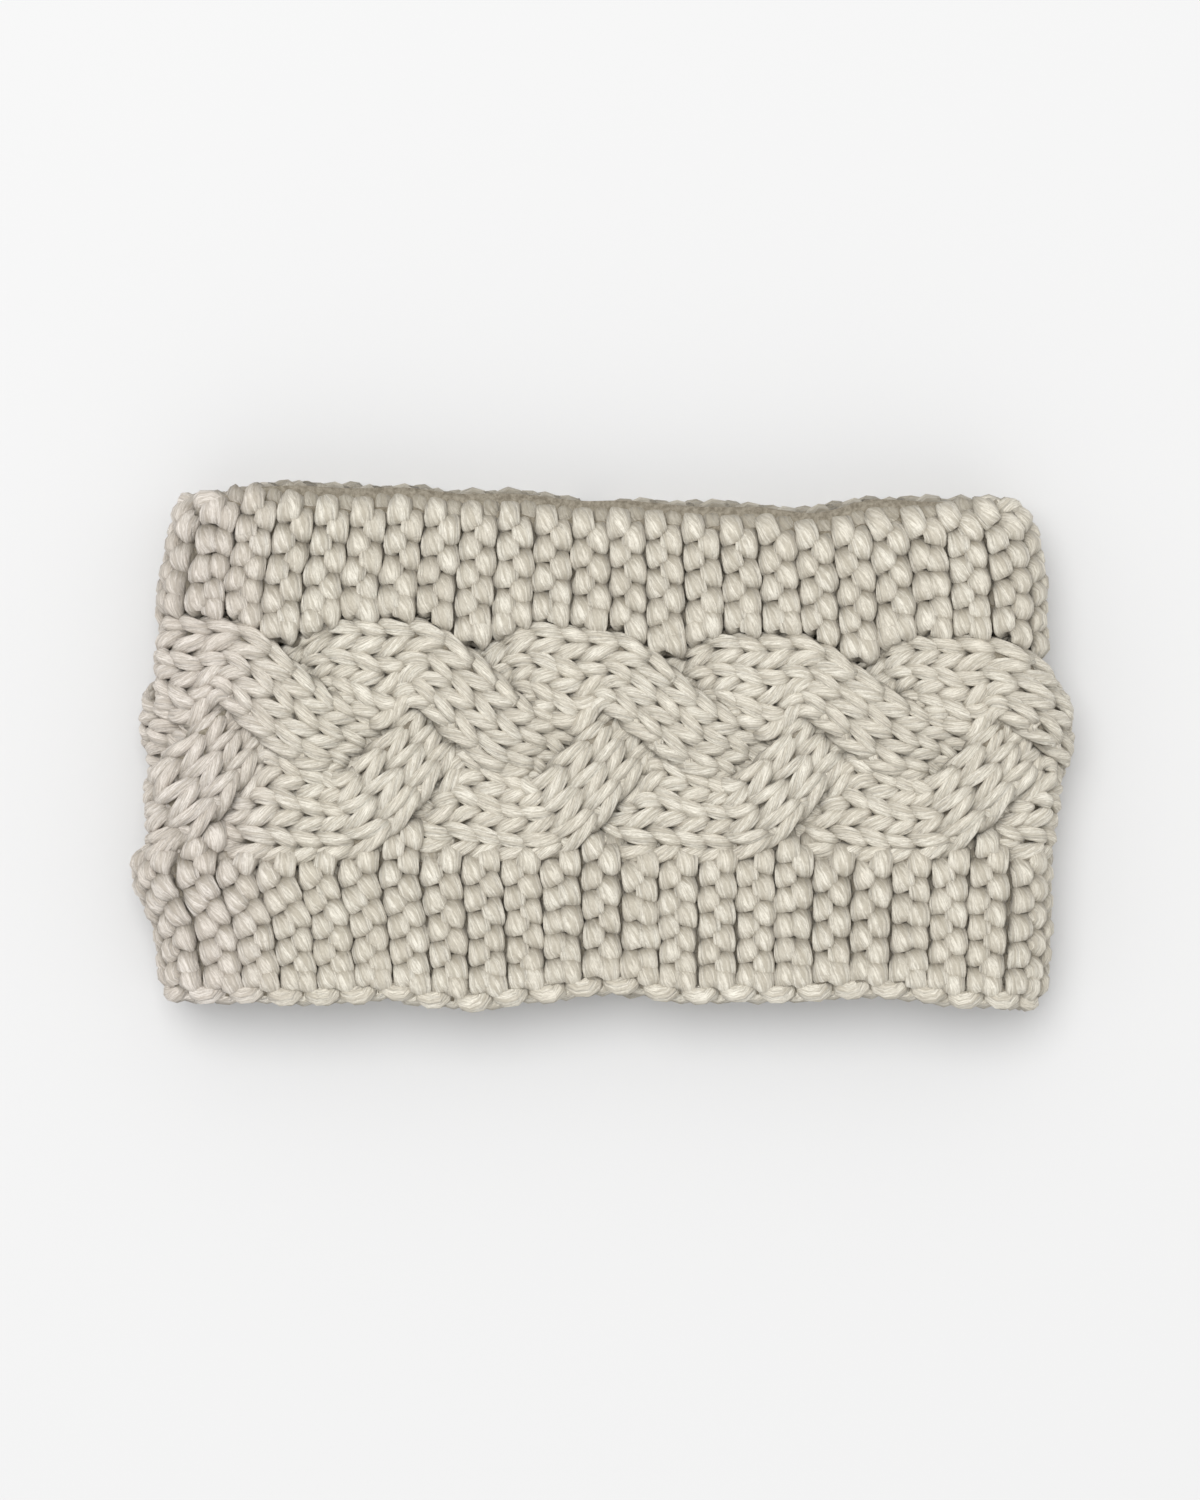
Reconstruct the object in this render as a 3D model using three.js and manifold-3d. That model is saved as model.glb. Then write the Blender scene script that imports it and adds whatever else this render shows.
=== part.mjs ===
// Ear warmer headband: one sideways-knitted strip, closed into a loop at the back and laid flat.
// Millimetres. X runs from fold to fold, Y across the band, Z up from the table that it lies on.
// The strip is first laid out straight: along it, across it, and outward from its middle surface.
import * as THREE from "three";
import { mergeVertices } from "three/addons/utils/BufferGeometryUtils.js";
import Module from "manifold-3d";

const wasm = await Module();
wasm.setup();
const { clamp, lerp, smoothstep } = THREE.MathUtils;

// The folded band
const FLAT_WIDTH = 221; // from fold to fold at the widest place
const BAND_HEIGHT = 126; // across the band at its tallest place
const HEAD_GAP = 5; // between the two layers of the cable, midway between the folds
const FOLD_SPACING = 18; // between the two layers' middle surfaces, where the folds begin
const CLEARANCE = 0.3; // between neighbouring pieces

// The garter stitch borders
const BORDER_THICKNESS = 7.5; // from rib crest to rib crest
const GROOVE_DEPTH = 1.2; // between two ribs, on each face
const RIB_PITCH = 9.25; // along the band
const UPPER_RIB_OFFSET = 1.5; // from the front's middle to the nearest groove of the upper border
const LOWER_RIB_OFFSET = 4.4; // from the front's middle to the nearest groove of the lower border

// The plaited cable
const LANE_PITCH = 17.7; // across the band, from one strand to the next
const PLAIT_OFFSET = -1.1; // of the cable's middle, across the band
const STRAND_THICKNESS = 5; // of one strand
const CABLE_REPEAT = 45.6; // along the band, from one crossing to the next like it
const CABLE_OFFSET = 13.9; // from the front's middle to the nearest upper crossing
const UPPER_CROSSING_LENGTH = 31; // along the band, where upper and middle strands change places
const LOWER_CROSSING_LENGTH = 25; // along the band, where middle and lower strands change places
const NOTCH_DEPTH = 5.5; // how far a border's edge reaches in between two strands
const STRAND_STEP = 5; // along a strand, from one cross-section to the next
const FOLD_STEP = 3; // the same, round the folds

// The join at the centre back
const SEAM_WIDTH = 3.6; // along the band

// What follows from the sizes
const FOLD_RADIUS = FOLD_SPACING / 2;
const BORDER_HALF = BORDER_THICKNESS / 2;
const STRAND_HALF = STRAND_THICKNESS / 2;
const STRAND_LIFT = STRAND_HALF + CLEARANCE; // of a strand that crosses over another
const CABLE_REACH = STRAND_LIFT + STRAND_HALF; // outward from the middle surface, at a crossing
const MIDDLE_SPACING = 2 * CABLE_REACH + HEAD_GAP;
const STRAIGHT_HALF = FLAT_WIDTH / 2 - FOLD_RADIUS - CABLE_REACH;
const FOLD_LENGTH = Math.PI * FOLD_RADIUS;
const HALF_LOOP = 2 * STRAIGHT_HALF + FOLD_LENGTH;
const STRIP_END = HALF_LOOP - SEAM_WIDTH / 2 - CLEARANCE;
const STRAND_HALF_WIDTH = (LANE_PITCH - CLEARANCE) / 2;
const CABLE_TOP = PLAIT_OFFSET + LANE_PITCH * 1.5;
const CABLE_BOTTOM = PLAIT_OFFSET - LANE_PITCH * 1.5;
const DIAGONAL_SPREAD = 0.6; // how much of its slant's length a crossing strand spreads across
const WHOLE_LIFT_SHARE = 0.15; // of a crossing's length from its middle, up to which the lift is whole
const NO_LIFT_SHARE = 0.62; // the same, from which there is none
const CUT_END_DEPTH = 0.5; // share of a groove's depth at a border's cut ends
const LEAST_STEP = RIB_PITCH / 8; // from a border's cut end to its next station

// The outline's two sides. height: share of half the band's height; left, right: share of half its width
const SIDES = [
  { height: -1.0, left: 0.93, right: 0.935 },
  { height: -0.9, left: 0.948, right: 0.958 },
  { height: -0.72, left: 0.962, right: 0.964 },
  { height: -0.46, left: 1.017, right: 0.968 },
  { height: -0.34, left: 0.99, right: 0.985 },
  { height: -0.1, left: 0.985, right: 1.0 },
  { height: 0.1, left: 0.985, right: 0.998 },
  { height: 0.3, left: 0.978, right: 0.965 },
  { height: 0.55, left: 0.96, right: 0.958 },
  { height: 0.75, left: 0.935, right: 0.94 },
  { height: 0.9, left: 0.915, right: 0.905 },
  { height: 1.0, left: 0.88, right: 0.87 },
];

// The outline's two edges. width: share of half the band's width; upper, lower: share of half its height
const EDGES = [
  { width: -1.0, upper: 0.95, lower: 0.965 },
  { width: -0.82, upper: 1.0, lower: 0.98 },
  { width: -0.5, upper: 0.99, lower: 0.97 },
  { width: -0.3, upper: 0.975, lower: 0.995 },
  { width: 0.0, upper: 0.945, lower: 0.95 },
  { width: 0.17, upper: 0.935, lower: 0.975 },
  { width: 0.36, upper: 0.93, lower: 0.975 },
  { width: 0.5, upper: 0.91, lower: 0.955 },
  { width: 0.68, upper: 0.945, lower: 0.96 },
  { width: 0.86, upper: 0.94, lower: 0.99 },
  { width: 1.0, upper: 0.925, lower: 1.0 },
];

// One garter rib. along: share of the rib's pitch; depth: share of the groove's depth that is taken off;
// fold: whether the row is needed only where the rib goes round a fold
const RIB = [
  { along: 0.0, depth: 1, fold: false },
  { along: 0.24, depth: 0, fold: false },
  { along: 0.5, depth: 0, fold: true },
  { along: 0.76, depth: 0, fold: false },
];

// Cross-sections, going round. across: share of the half width; outward: share of the half thickness
const BORDER_SECTION = [
  { across: -1.0, outward: -1.0 },
  { across: 0.86, outward: -1.0 },
  { across: 1.0, outward: -0.5 },
  { across: 1.0, outward: 0.5 },
  { across: 0.86, outward: 1.0 },
  { across: -1.0, outward: 1.0 },
];
const SEAM_SECTION = [
  { across: -1.0, outward: -0.7 },
  { across: -0.7, outward: -1.0 },
  { across: 0.7, outward: -1.0 },
  { across: 1.0, outward: -0.7 },
  { across: 1.0, outward: 0.7 },
  { across: 0.7, outward: 1.0 },
  { across: -0.7, outward: 1.0 },
  { across: -1.0, outward: 0.7 },
];
const STRAND_SECTION = [
  { across: -1.0, outward: 0.0 },
  { across: -0.7, outward: -1.0 },
  { across: 0.7, outward: -1.0 },
  { across: 1.0, outward: 0.0 },
  { across: 0.7, outward: 0.9 },
  { across: 0.34, outward: 0.62 },
  { across: 0.0, outward: 1.0 },
  { across: -0.34, outward: 0.62 },
  { across: -0.7, outward: 0.9 },
];

// What a strand does in three repeats of the plait. at: repeats along; lanes: how many it climbs;
// outward: 1 where it passes over and -1 where it passes under; length: of the crossing
const CROSSINGS = [
  { at: 0, lanes: -1, outward: 1, length: UPPER_CROSSING_LENGTH },
  { at: 0.61, lanes: -1, outward: -1, length: LOWER_CROSSING_LENGTH },
  { at: 1.61, lanes: 1, outward: 1, length: LOWER_CROSSING_LENGTH },
  { at: 2, lanes: 1, outward: -1, length: UPPER_CROSSING_LENGTH },
];
const STRANDS = 3;
const STRAND_NUMBERS = Array.from({ length: STRANDS }, (_, i) => i);

// A column of a table, eased between the two rows that a value of its key column lies between.
function readTable(table, key, value, column) {
  const next = table.findIndex((row) => row[key] >= value);
  if (next < 0) return table[table.length - 1][column];
  if (next === 0) return table[0][column];
  const low = table[next - 1];
  const high = table[next];
  return lerp(low[column], high[column], smoothstep(value, low[key], high[key]));
}

// The middle surface's place and outward direction, at a distance along the strip from the front's middle.
function onLoop(along) {
  const side = Math.sign(along) || 1;
  const gone = Math.abs(along);
  const foldHeight = BORDER_HALF + FOLD_RADIUS;
  if (gone <= STRAIGHT_HALF) {
    const nearFold = smoothstep(gone, 0, STRAIGHT_HALF);
    const z = BORDER_HALF + lerp(MIDDLE_SPACING, FOLD_SPACING, nearFold);
    return { x: along, z, outX: 0, outZ: 1 };
  }
  if (gone < STRAIGHT_HALF + FOLD_LENGTH) {
    const turn = (gone - STRAIGHT_HALF) / FOLD_RADIUS;
    const x = side * (STRAIGHT_HALF + FOLD_RADIUS * Math.sin(turn));
    const z = foldHeight + FOLD_RADIUS * Math.cos(turn);
    return { x, z, outX: side * Math.sin(turn), outZ: Math.cos(turn) };
  }
  return { x: side * (HALF_LOOP - gone), z: BORDER_HALF, outX: 0, outZ: -1 };
}

function inFold(along) {
  return onLoop(along).outX !== 0;
}

// How far the strip's upper or lower edge lies from its middle line, at a distance along it.
function edgeHeight(along, edge) {
  const share = onLoop(along).x / (STRAIGHT_HALF + FOLD_RADIUS);
  return (readTable(EDGES, "width", share, edge) * BAND_HEIGHT) / 2;
}

// A point of the laid-out strip, bent round the loop, drawn in to the outline, and pressed on the table.
function bend(along, across, outward, table = 0) {
  const at = onLoop(along);
  const side = at.x < 0 ? "left" : "right";
  const drawnIn = readTable(SIDES, "height", (2 * across) / BAND_HEIGHT, side);
  const x = at.x * drawnIn + outward * at.outX;
  const z = Math.max(at.z + outward * at.outZ, table);
  return new THREE.Vector3(x, across, z);
}

// Where a strand lies by itself, at a distance along the strip: its edges across the band and its lift.
function strandRoute(strand, along) {
  const repeats = (along - CABLE_OFFSET) / CABLE_REPEAT - strand + 0.5;
  const turn = repeats - STRANDS * Math.floor(repeats / STRANDS) - 0.5;
  let lane = 1;
  let slope = 0;
  let lift = 0;
  for (const { at, lanes, outward, length } of CROSSINGS) {
    const past = ((turn - at) * CABLE_REPEAT) / length;
    const gone = clamp(past + 0.5, 0, 1);
    lane += lanes * smoothstep(gone, 0, 1);
    if (outward > 0) slope += 6 * gone * (1 - gone) * (LANE_PITCH / length);
    lift += outward * STRAND_LIFT * (1 - smoothstep(Math.abs(past), WHOLE_LIFT_SHARE, NO_LIFT_SHARE));
  }
  const middle = PLAIT_OFFSET + lane * LANE_PITCH;
  const halfWidth = STRAND_HALF_WIDTH * lerp(1, Math.hypot(1, slope), DIAGONAL_SPREAD);
  return { middle, low: middle - halfWidth, high: middle + halfWidth, lift };
}

// The same, with the outer strands spread inward until they meet the strand between them.
function strandAt(strand, along) {
  const route = strandRoute(strand, along);
  const others = STRAND_NUMBERS.filter((i) => i !== strand).map((i) => strandRoute(i, along));
  if (others.every((other) => other.middle < route.middle))
    route.low = Math.min(route.low, Math.max(...others.map((other) => other.high)) + CLEARANCE);
  if (others.every((other) => other.middle > route.middle))
    route.high = Math.max(route.high, Math.min(...others.map((other) => other.low)) - CLEARANCE);
  return route;
}

// The borders' edges follow the outermost strand, and reach at most a notch's depth in between two.
function cableEdge(along, edge) {
  const strands = STRAND_NUMBERS.map((strand) => strandRoute(strand, along));
  if (edge === "upper") {
    const highest = Math.max(...strands.map((route) => route.high));
    return Math.max(highest, CABLE_TOP - NOTCH_DEPTH) + CLEARANCE;
  }
  const lowest = Math.min(...strands.map((route) => route.low));
  return Math.min(lowest, CABLE_BOTTOM + NOTCH_DEPTH) - CLEARANCE;
}

// A strip of one cross-section, extruded by a step for each station, and then laid by a function.
function layStrip(section, stations, lay) {
  const outline = new THREE.Shape(section.map((row) => new THREE.Vector2(row.across, row.outward)));
  const steps = stations.length - 1;
  const strip = new THREE.ExtrudeGeometry(outline, { steps, depth: steps, bevelEnabled: false });
  strip.deleteAttribute("normal");
  strip.deleteAttribute("uv");
  const geometry = mergeVertices(strip, 1e-4);
  const position = geometry.getAttribute("position");
  for (let i = 0; i < position.count; i++) {
    const station = stations[Math.round(position.getZ(i))];
    const point = lay(station, position.getX(i), position.getY(i));
    position.setXYZ(i, point.x, point.y, point.z);
  }
  return geometry;
}

function toSolid(geometry) {
  return new wasm.Manifold(
    new wasm.Mesh({
      numProp: 3,
      vertProperties: geometry.getAttribute("position").array,
      triVerts: new Uint32Array(geometry.index.array),
    }),
  );
}

// The largest body of a solid, without the crumbs that a cut leaves.
function toGeometry(solid) {
  const [body] = solid.decompose().sort((a, b) => b.volume() - a.volume());
  const mesh = body.getMesh();
  const positions = new THREE.BufferAttribute(new Float32Array(mesh.vertProperties), 3);
  return new THREE.BufferGeometry()
    .setAttribute("position", positions)
    .setIndex(new THREE.BufferAttribute(new Uint32Array(mesh.triVerts), 1));
}

// The stations of a garter border: its cut ends, and each row of the rib table on every rib.
function ribStations(offset) {
  const first = Math.floor((-STRIP_END - offset) / RIB_PITCH);
  const last = Math.ceil((STRIP_END - offset) / RIB_PITCH);
  const stations = [{ along: -STRIP_END, depth: CUT_END_DEPTH }];
  for (let rib = first; rib <= last; rib++)
    for (const row of RIB) {
      const along = offset + (rib + row.along) * RIB_PITCH;
      if (row.fold && !inFold(along)) continue;
      if (Math.abs(along) < STRIP_END - LEAST_STEP) stations.push({ along, depth: row.depth });
    }
  stations.push({ along: STRIP_END, depth: CUT_END_DEPTH });
  return stations;
}

function borderSolid(edge, ribOffset) {
  const up = edge === "upper" ? 1 : -1;
  const lay = (station, across, outward) => {
    const inner = Math.abs(cableEdge(station.along, edge));
    const outer = edgeHeight(station.along, edge);
    const height = up * lerp(inner, outer, (up * across + 1) / 2);
    const half = BORDER_HALF - GROOVE_DEPTH * station.depth;
    return bend(station.along, height, outward * half);
  };
  const section = edge === "upper" ? BORDER_SECTION : mirrored(BORDER_SECTION);
  return toSolid(layStrip(section, ribStations(ribOffset), lay));
}

function mirrored(section) {
  return section.map((row) => ({ across: -row.across, outward: row.outward })).reverse();
}

// The places along the strip where a strand has a cross-section, closer round the folds.
const STRAND_STATIONS = [];
for (let along = -STRIP_END; along < STRIP_END - FOLD_STEP / 2; along += inFold(along) ? FOLD_STEP : STRAND_STEP)
  STRAND_STATIONS.push({ along });
STRAND_STATIONS.push({ along: STRIP_END });

// A strand from end to end, thicker all round by an allowance.
function strandSolid(strand, allowance = 0) {
  const lay = (station, across, outward) => {
    const s = strandAt(strand, station.along);
    const height = lerp(s.low - allowance, s.high + allowance, (across + 1) / 2);
    const lifted = s.lift + outward * (STRAND_HALF + allowance);
    return bend(station.along, height, lifted, -allowance);
  };
  return toSolid(layStrip(STRAND_SECTION, STRAND_STATIONS, lay));
}

function seamSolid() {
  const half = BORDER_HALF;
  const outline = new THREE.Shape(
    SEAM_SECTION.map((row) => new THREE.Vector2((row.across * SEAM_WIDTH) / 2, row.outward * half)),
  );
  const length = edgeHeight(HALF_LOOP, "upper") + edgeHeight(HALF_LOOP, "lower");
  const seam = new THREE.ExtrudeGeometry(outline, { depth: length, bevelEnabled: false });
  seam.rotateX(Math.PI / 2);
  seam.translate(0, edgeHeight(HALF_LOOP, "upper"), half);
  seam.deleteAttribute("normal");
  seam.deleteAttribute("uv");
  return toSolid(mergeVertices(seam, 1e-4));
}

const yarn = { color: 0xe3dccc, roughness: 0.95, metalness: 0 };
const group = new THREE.Group();

function addPiece(name, solid) {
  const mesh = new THREE.Mesh(toGeometry(solid), new THREE.MeshStandardMaterial(yarn));
  mesh.name = name;
  group.add(mesh);
}

const strandsWithGap = STRAND_NUMBERS.map((strand) => strandSolid(strand, CLEARANCE));
const clearOf = (solid, others) => others.reduce((left, other) => left.subtract(other), solid);

addPiece("garter_border_upper", clearOf(borderSolid("upper", UPPER_RIB_OFFSET), strandsWithGap));
addPiece("garter_border_lower", clearOf(borderSolid("lower", LOWER_RIB_OFFSET), strandsWithGap));
// Each strand of a plait always passes over the next one, and the last over the first.
for (const strand of STRAND_NUMBERS) {
  const passesOver = strandsWithGap[(strand + STRANDS - 1) % STRANDS];
  addPiece(`cable_strand_${strand + 1}`, clearOf(strandSolid(strand), [passesOver]));
}
addPiece("back_seam", seamSolid());

export default group;
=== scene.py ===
"""Ear warmer headband: every stitch of the knitted loop as yarn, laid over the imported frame."""

import math

import bpy
import numpy as np
from bpy.props import FloatProperty, FloatVectorProperty, IntProperty, PointerProperty
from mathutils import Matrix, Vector


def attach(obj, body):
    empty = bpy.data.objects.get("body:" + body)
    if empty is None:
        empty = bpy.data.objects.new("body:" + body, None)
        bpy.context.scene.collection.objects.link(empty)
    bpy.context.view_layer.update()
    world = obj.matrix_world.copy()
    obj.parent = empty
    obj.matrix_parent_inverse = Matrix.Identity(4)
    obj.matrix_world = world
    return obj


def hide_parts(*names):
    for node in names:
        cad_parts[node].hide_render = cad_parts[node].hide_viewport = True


bl_info = {
    "name": "Knitted ear warmer",
    "version": (1, 0, 0),
    "blender": (4, 5, 0),
    "location": "View3D > Sidebar > Ear Warmer",
    "description": "Knits a cabled ear warmer headband, stitch by stitch, round a fixed frame",
    "category": "Object",
}

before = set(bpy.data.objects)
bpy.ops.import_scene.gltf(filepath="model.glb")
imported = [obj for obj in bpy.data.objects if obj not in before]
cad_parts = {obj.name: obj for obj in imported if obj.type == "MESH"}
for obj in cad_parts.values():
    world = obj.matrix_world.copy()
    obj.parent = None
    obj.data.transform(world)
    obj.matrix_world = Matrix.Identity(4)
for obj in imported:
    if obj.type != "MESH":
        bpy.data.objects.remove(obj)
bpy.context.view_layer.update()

MM = 0.001

# The folded band, in millimetres, as the solids are made
FLAT_WIDTH = 221.0
BAND_HEIGHT = 126.0
HEAD_GAP = 5.0
FOLD_SPACING = 18.0
CLEARANCE = 0.3
BORDER_THICKNESS = 7.5
RIB_PITCH = 9.25
UPPER_RIB_OFFSET = 1.5
LOWER_RIB_OFFSET = 4.4
LANE_PITCH = 17.7
PLAIT_OFFSET = -1.1
STRAND_THICKNESS = 5.0
CABLE_REPEAT = 45.6
CABLE_OFFSET = 13.9
UPPER_CROSSING_LENGTH = 31.0
LOWER_CROSSING_LENGTH = 25.0
NOTCH_DEPTH = 5.5
UPPER_NOTCH_SHARE = 0.9
LOWER_NOTCH_SHARE = 0.75
SEAM_WIDTH = 3.6

FOLD_RADIUS = FOLD_SPACING / 2
BORDER_HALF = BORDER_THICKNESS / 2
STRAND_HALF = STRAND_THICKNESS / 2
STRAND_LIFT = STRAND_HALF + CLEARANCE
CABLE_REACH = STRAND_LIFT + STRAND_HALF
MIDDLE_SPACING = 2 * CABLE_REACH + HEAD_GAP
STRAIGHT_HALF = FLAT_WIDTH / 2 - FOLD_RADIUS - CABLE_REACH
FOLD_LENGTH = math.pi * FOLD_RADIUS
HALF_LOOP = 2 * STRAIGHT_HALF + FOLD_LENGTH
STRIP_END = HALF_LOOP - SEAM_WIDTH / 2 - CLEARANCE
STRAND_HALF_WIDTH = (LANE_PITCH - CLEARANCE) / 2
CABLE_TOP = PLAIT_OFFSET + LANE_PITCH * 1.5
CABLE_BOTTOM = PLAIT_OFFSET - LANE_PITCH * 1.5
DIAGONAL_SPREAD = 1.0
WHOLE_LIFT_SHARE = 0.15
NO_LIFT_SHARE = 0.62

# The outline's sides: share of half the height, then of half the width on the left and on the right
SIDES = np.array([
    (-1.0, 0.93, 0.935), (-0.9, 0.948, 0.958), (-0.72, 0.962, 0.964), (-0.46, 1.017, 0.968),
    (-0.34, 0.99, 0.985), (-0.1, 0.985, 1.0), (0.1, 0.985, 0.998), (0.3, 0.978, 0.965),
    (0.55, 0.96, 0.958), (0.75, 0.935, 0.94), (0.9, 0.915, 0.905), (1.0, 0.88, 0.87),
])
# The outline's edges: share of half the width, then of half the height at the upper and the lower edge
EDGES = np.array([
    (-1.0, 0.95, 0.965), (-0.82, 1.0, 0.98), (-0.5, 0.99, 0.97), (-0.3, 0.975, 0.995),
    (0.0, 0.945, 0.95), (0.17, 0.935, 0.975), (0.36, 0.93, 0.975), (0.5, 0.91, 0.955),
    (0.68, 0.945, 0.96), (0.86, 0.94, 0.99), (1.0, 0.925, 1.0),
])
# What a strand does in three repeats: where, lanes climbed, over or under, length of the crossing
CROSSINGS = (
    (0.0, -1, 1, UPPER_CROSSING_LENGTH),
    (0.61, -1, -1, LOWER_CROSSING_LENGTH),
    (1.61, 1, 1, LOWER_CROSSING_LENGTH),
    (2.0, 1, -1, UPPER_CROSSING_LENGTH),
)
STRANDS = 3

TABLE = 0.15  # the lowest that yarn lies above the surface under it
WANDER = 0.45  # how far the stitches stray from their even places
CABLE_RISE = 4.2  # how much higher the cable's upper edge lies at the front's left than at its right
RISE_STARTS = (-45.0, 55.0)  # from where to where on the front the edge climbs, measured leftward
RISE_ENDS = (-150.0, -100.0)  # where it is down again, on the back, and where it starts to come down
TUCK = 1.8  # how far an outer strand's edge is tucked in under the strand between them


def eased(value, low, high):
    share = np.clip((value - low) / (high - low), 0.0, 1.0)
    return share * share * (3.0 - 2.0 * share)


def read_table(table, at, column):
    """A column of a table, eased between the two rows that a value of the first one lies between."""
    keys = table[:, 0]
    at = np.clip(at, keys[0], keys[-1])
    high = np.clip(np.searchsorted(keys, at), 1, len(keys) - 1)
    share = eased(at, keys[high - 1], keys[high])
    low_value, high_value = table[high - 1, column], table[high, column]
    return low_value + (high_value - low_value) * share


def on_loop(along):
    """Place and outward direction of the strip's middle surface, at distances from the front's middle."""
    side = np.where(along < 0, -1.0, 1.0)
    gone = np.abs(along)
    turn = np.clip((gone - STRAIGHT_HALF) / FOLD_RADIUS, 0.0, math.pi)
    front = BORDER_HALF + MIDDLE_SPACING + (FOLD_SPACING - MIDDLE_SPACING) * eased(gone, 0.0, STRAIGHT_HALF)
    x = side * (np.minimum(gone, STRAIGHT_HALF) + FOLD_RADIUS * np.sin(turn))
    x = x - side * np.maximum(gone - STRAIGHT_HALF - FOLD_LENGTH, 0.0)
    z = BORDER_HALF + FOLD_RADIUS + FOLD_RADIUS * np.cos(turn)
    z = np.where(gone <= STRAIGHT_HALF, front, z)
    return x, z, side * np.sin(turn), np.cos(turn)


def edge_height(along, edge):
    """How far from the band's middle its upper or lower edge lies."""
    share = on_loop(along)[0] / (STRAIGHT_HALF + FOLD_RADIUS)
    return read_table(EDGES, share, 1 if edge == "upper" else 2) * BAND_HEIGHT / 2


def bend(strip):
    """Laid-out strip points (along, across, outward), bent round the loop and drawn in to its outline."""
    along, across, outward = strip[..., 0], strip[..., 1], strip[..., 2]
    x, z, out_x, out_z = on_loop(along)
    height = 2 * across / BAND_HEIGHT
    drawn_in = np.where(x < 0, read_table(SIDES, height, 1), read_table(SIDES, height, 2))
    points = np.stack([x * drawn_in + outward * out_x, across, z + outward * out_z], -1)
    outwards = np.stack([out_x, np.zeros_like(out_x), out_z], -1)
    return points, outwards


def cable_rise(along):
    """How far the cable's upper edge is pulled up at the left of the front."""
    return CABLE_RISE * eased(-along, *RISE_STARTS) * eased(along, *RISE_ENDS)


def strand_route(strand, along):
    """Where a strand lies by itself: its lower and upper edge, its middle and its lift."""
    repeats = (along - CABLE_OFFSET) / CABLE_REPEAT - strand + 0.5
    turn = repeats - STRANDS * np.floor(repeats / STRANDS) - 0.5
    lane, slope, lift = np.ones_like(along), np.zeros_like(along), np.zeros_like(along)
    for at, lanes, outward, length in CROSSINGS:
        past = (turn - at) * CABLE_REPEAT / length
        gone = np.clip(past + 0.5, 0.0, 1.0)
        lane += lanes * eased(gone, 0.0, 1.0)
        if outward > 0:
            slope += 6 * gone * (1 - gone) * LANE_PITCH / length
        lift += outward * STRAND_LIFT * (1 - eased(np.abs(past), WHOLE_LIFT_SHARE, NO_LIFT_SHARE))
    middle = PLAIT_OFFSET + lane * LANE_PITCH
    half = STRAND_HALF_WIDTH * (1 + (np.hypot(1, slope) - 1) * DIAGONAL_SPREAD)
    low, middle, high = (
        edge + cable_rise(along) * (edge - CABLE_BOTTOM) / (CABLE_TOP - CABLE_BOTTOM)
        for edge in (middle - half, middle, middle + half)
    )
    return low, high, middle, lift


def strand_at(strand, along):
    """The same, with the outer strands spread inward until they meet the strand between them."""
    low, high, middle, lift = strand_route(strand, along)
    others = [strand_route(i, along) for i in range(STRANDS) if i != strand]
    above = np.all([other[2] < middle for other in others], axis=0)
    below = np.all([other[2] > middle for other in others], axis=0)
    highest = np.max([other[1] for other in others], axis=0)
    lowest = np.min([other[0] for other in others], axis=0)
    low = np.where(above, np.minimum(low, highest - TUCK), low)
    high = np.where(below, np.maximum(high, lowest + TUCK), high)
    return low, high, lift


def cable_edge(along, edge):
    """How high up a border's inner edge lies, which follows the outermost strand into the notches."""
    routes = [strand_route(strand, along) for strand in range(STRANDS)]
    if edge == "upper":
        highest = np.max([route[1] for route in routes], axis=0)
        notch = CABLE_TOP - NOTCH_DEPTH * UPPER_NOTCH_SHARE + cable_rise(along)
        return np.maximum(highest, notch) + CLEARANCE
    lowest = np.min([route[0] for route in routes], axis=0)
    return np.minimum(lowest, CABLE_BOTTOM + NOTCH_DEPTH * LOWER_NOTCH_SHARE) - CLEARANCE


# Slow waves that carry whole patches of stitches a little off their even places:
# waves along, waves across, phase, each for one direction of the strip
WAVES = (
    ((0.11, 0.05, 0.4), (0.053, 0.16, 2.1), (0.19, 0.09, 4.4)),
    ((0.09, 0.11, 1.3), (0.047, 0.07, 5.2), (0.21, 0.05, 3.0)),
    ((0.13, 0.08, 2.7), (0.061, 0.14, 0.9), (0.23, 0.12, 1.8)),
)
WAVE_HEIGHT = 1.6
WAVE_SHARES = (0.5, 1.0, 0.6)
SEAM_FADE = 12.0  # how near the seam the waves die away


def wander(strip, reach=WANDER):
    """Strip points carried a little along, across and outward, as hand-held tension does."""
    along, across = strip[..., 0], strip[..., 1]
    fade = eased(STRIP_END - np.abs(along), 0.0, SEAM_FADE)
    moved = strip.copy()
    for axis, waves in enumerate(WAVES):
        shift = sum(np.sin(a * along + c * across + phase) for a, c, phase in waves) / len(waves)
        moved[..., axis] += WAVE_HEIGHT * reach * WAVE_SHARES[axis] * fade * shift
    return moved


def spline_weights(controls, rings):
    """Catmull-Rom weights that turn control points into evenly spaced rings."""
    weights = np.zeros((rings, controls))
    for ring, at in enumerate(np.linspace(0, controls - 1, rings)):
        first = min(int(at), controls - 2)
        t = at - first
        parts = (
            -0.5 * t + t * t - 0.5 * t**3,
            1 - 2.5 * t * t + 1.5 * t**3,
            0.5 * t + 2 * t * t - 1.5 * t**3,
            -0.5 * t * t + 0.5 * t**3,
        )
        for offset, part in zip((-1, 0, 1, 2), parts):
            at_control = first + offset
            if at_control < 0:
                weights[ring, 0] += 2 * part
                weights[ring, 1] -= part
            elif at_control > controls - 1:
                weights[ring, -1] += 2 * part
                weights[ring, -2] -= part
            else:
                weights[ring, at_control] += part
    return weights


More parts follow.
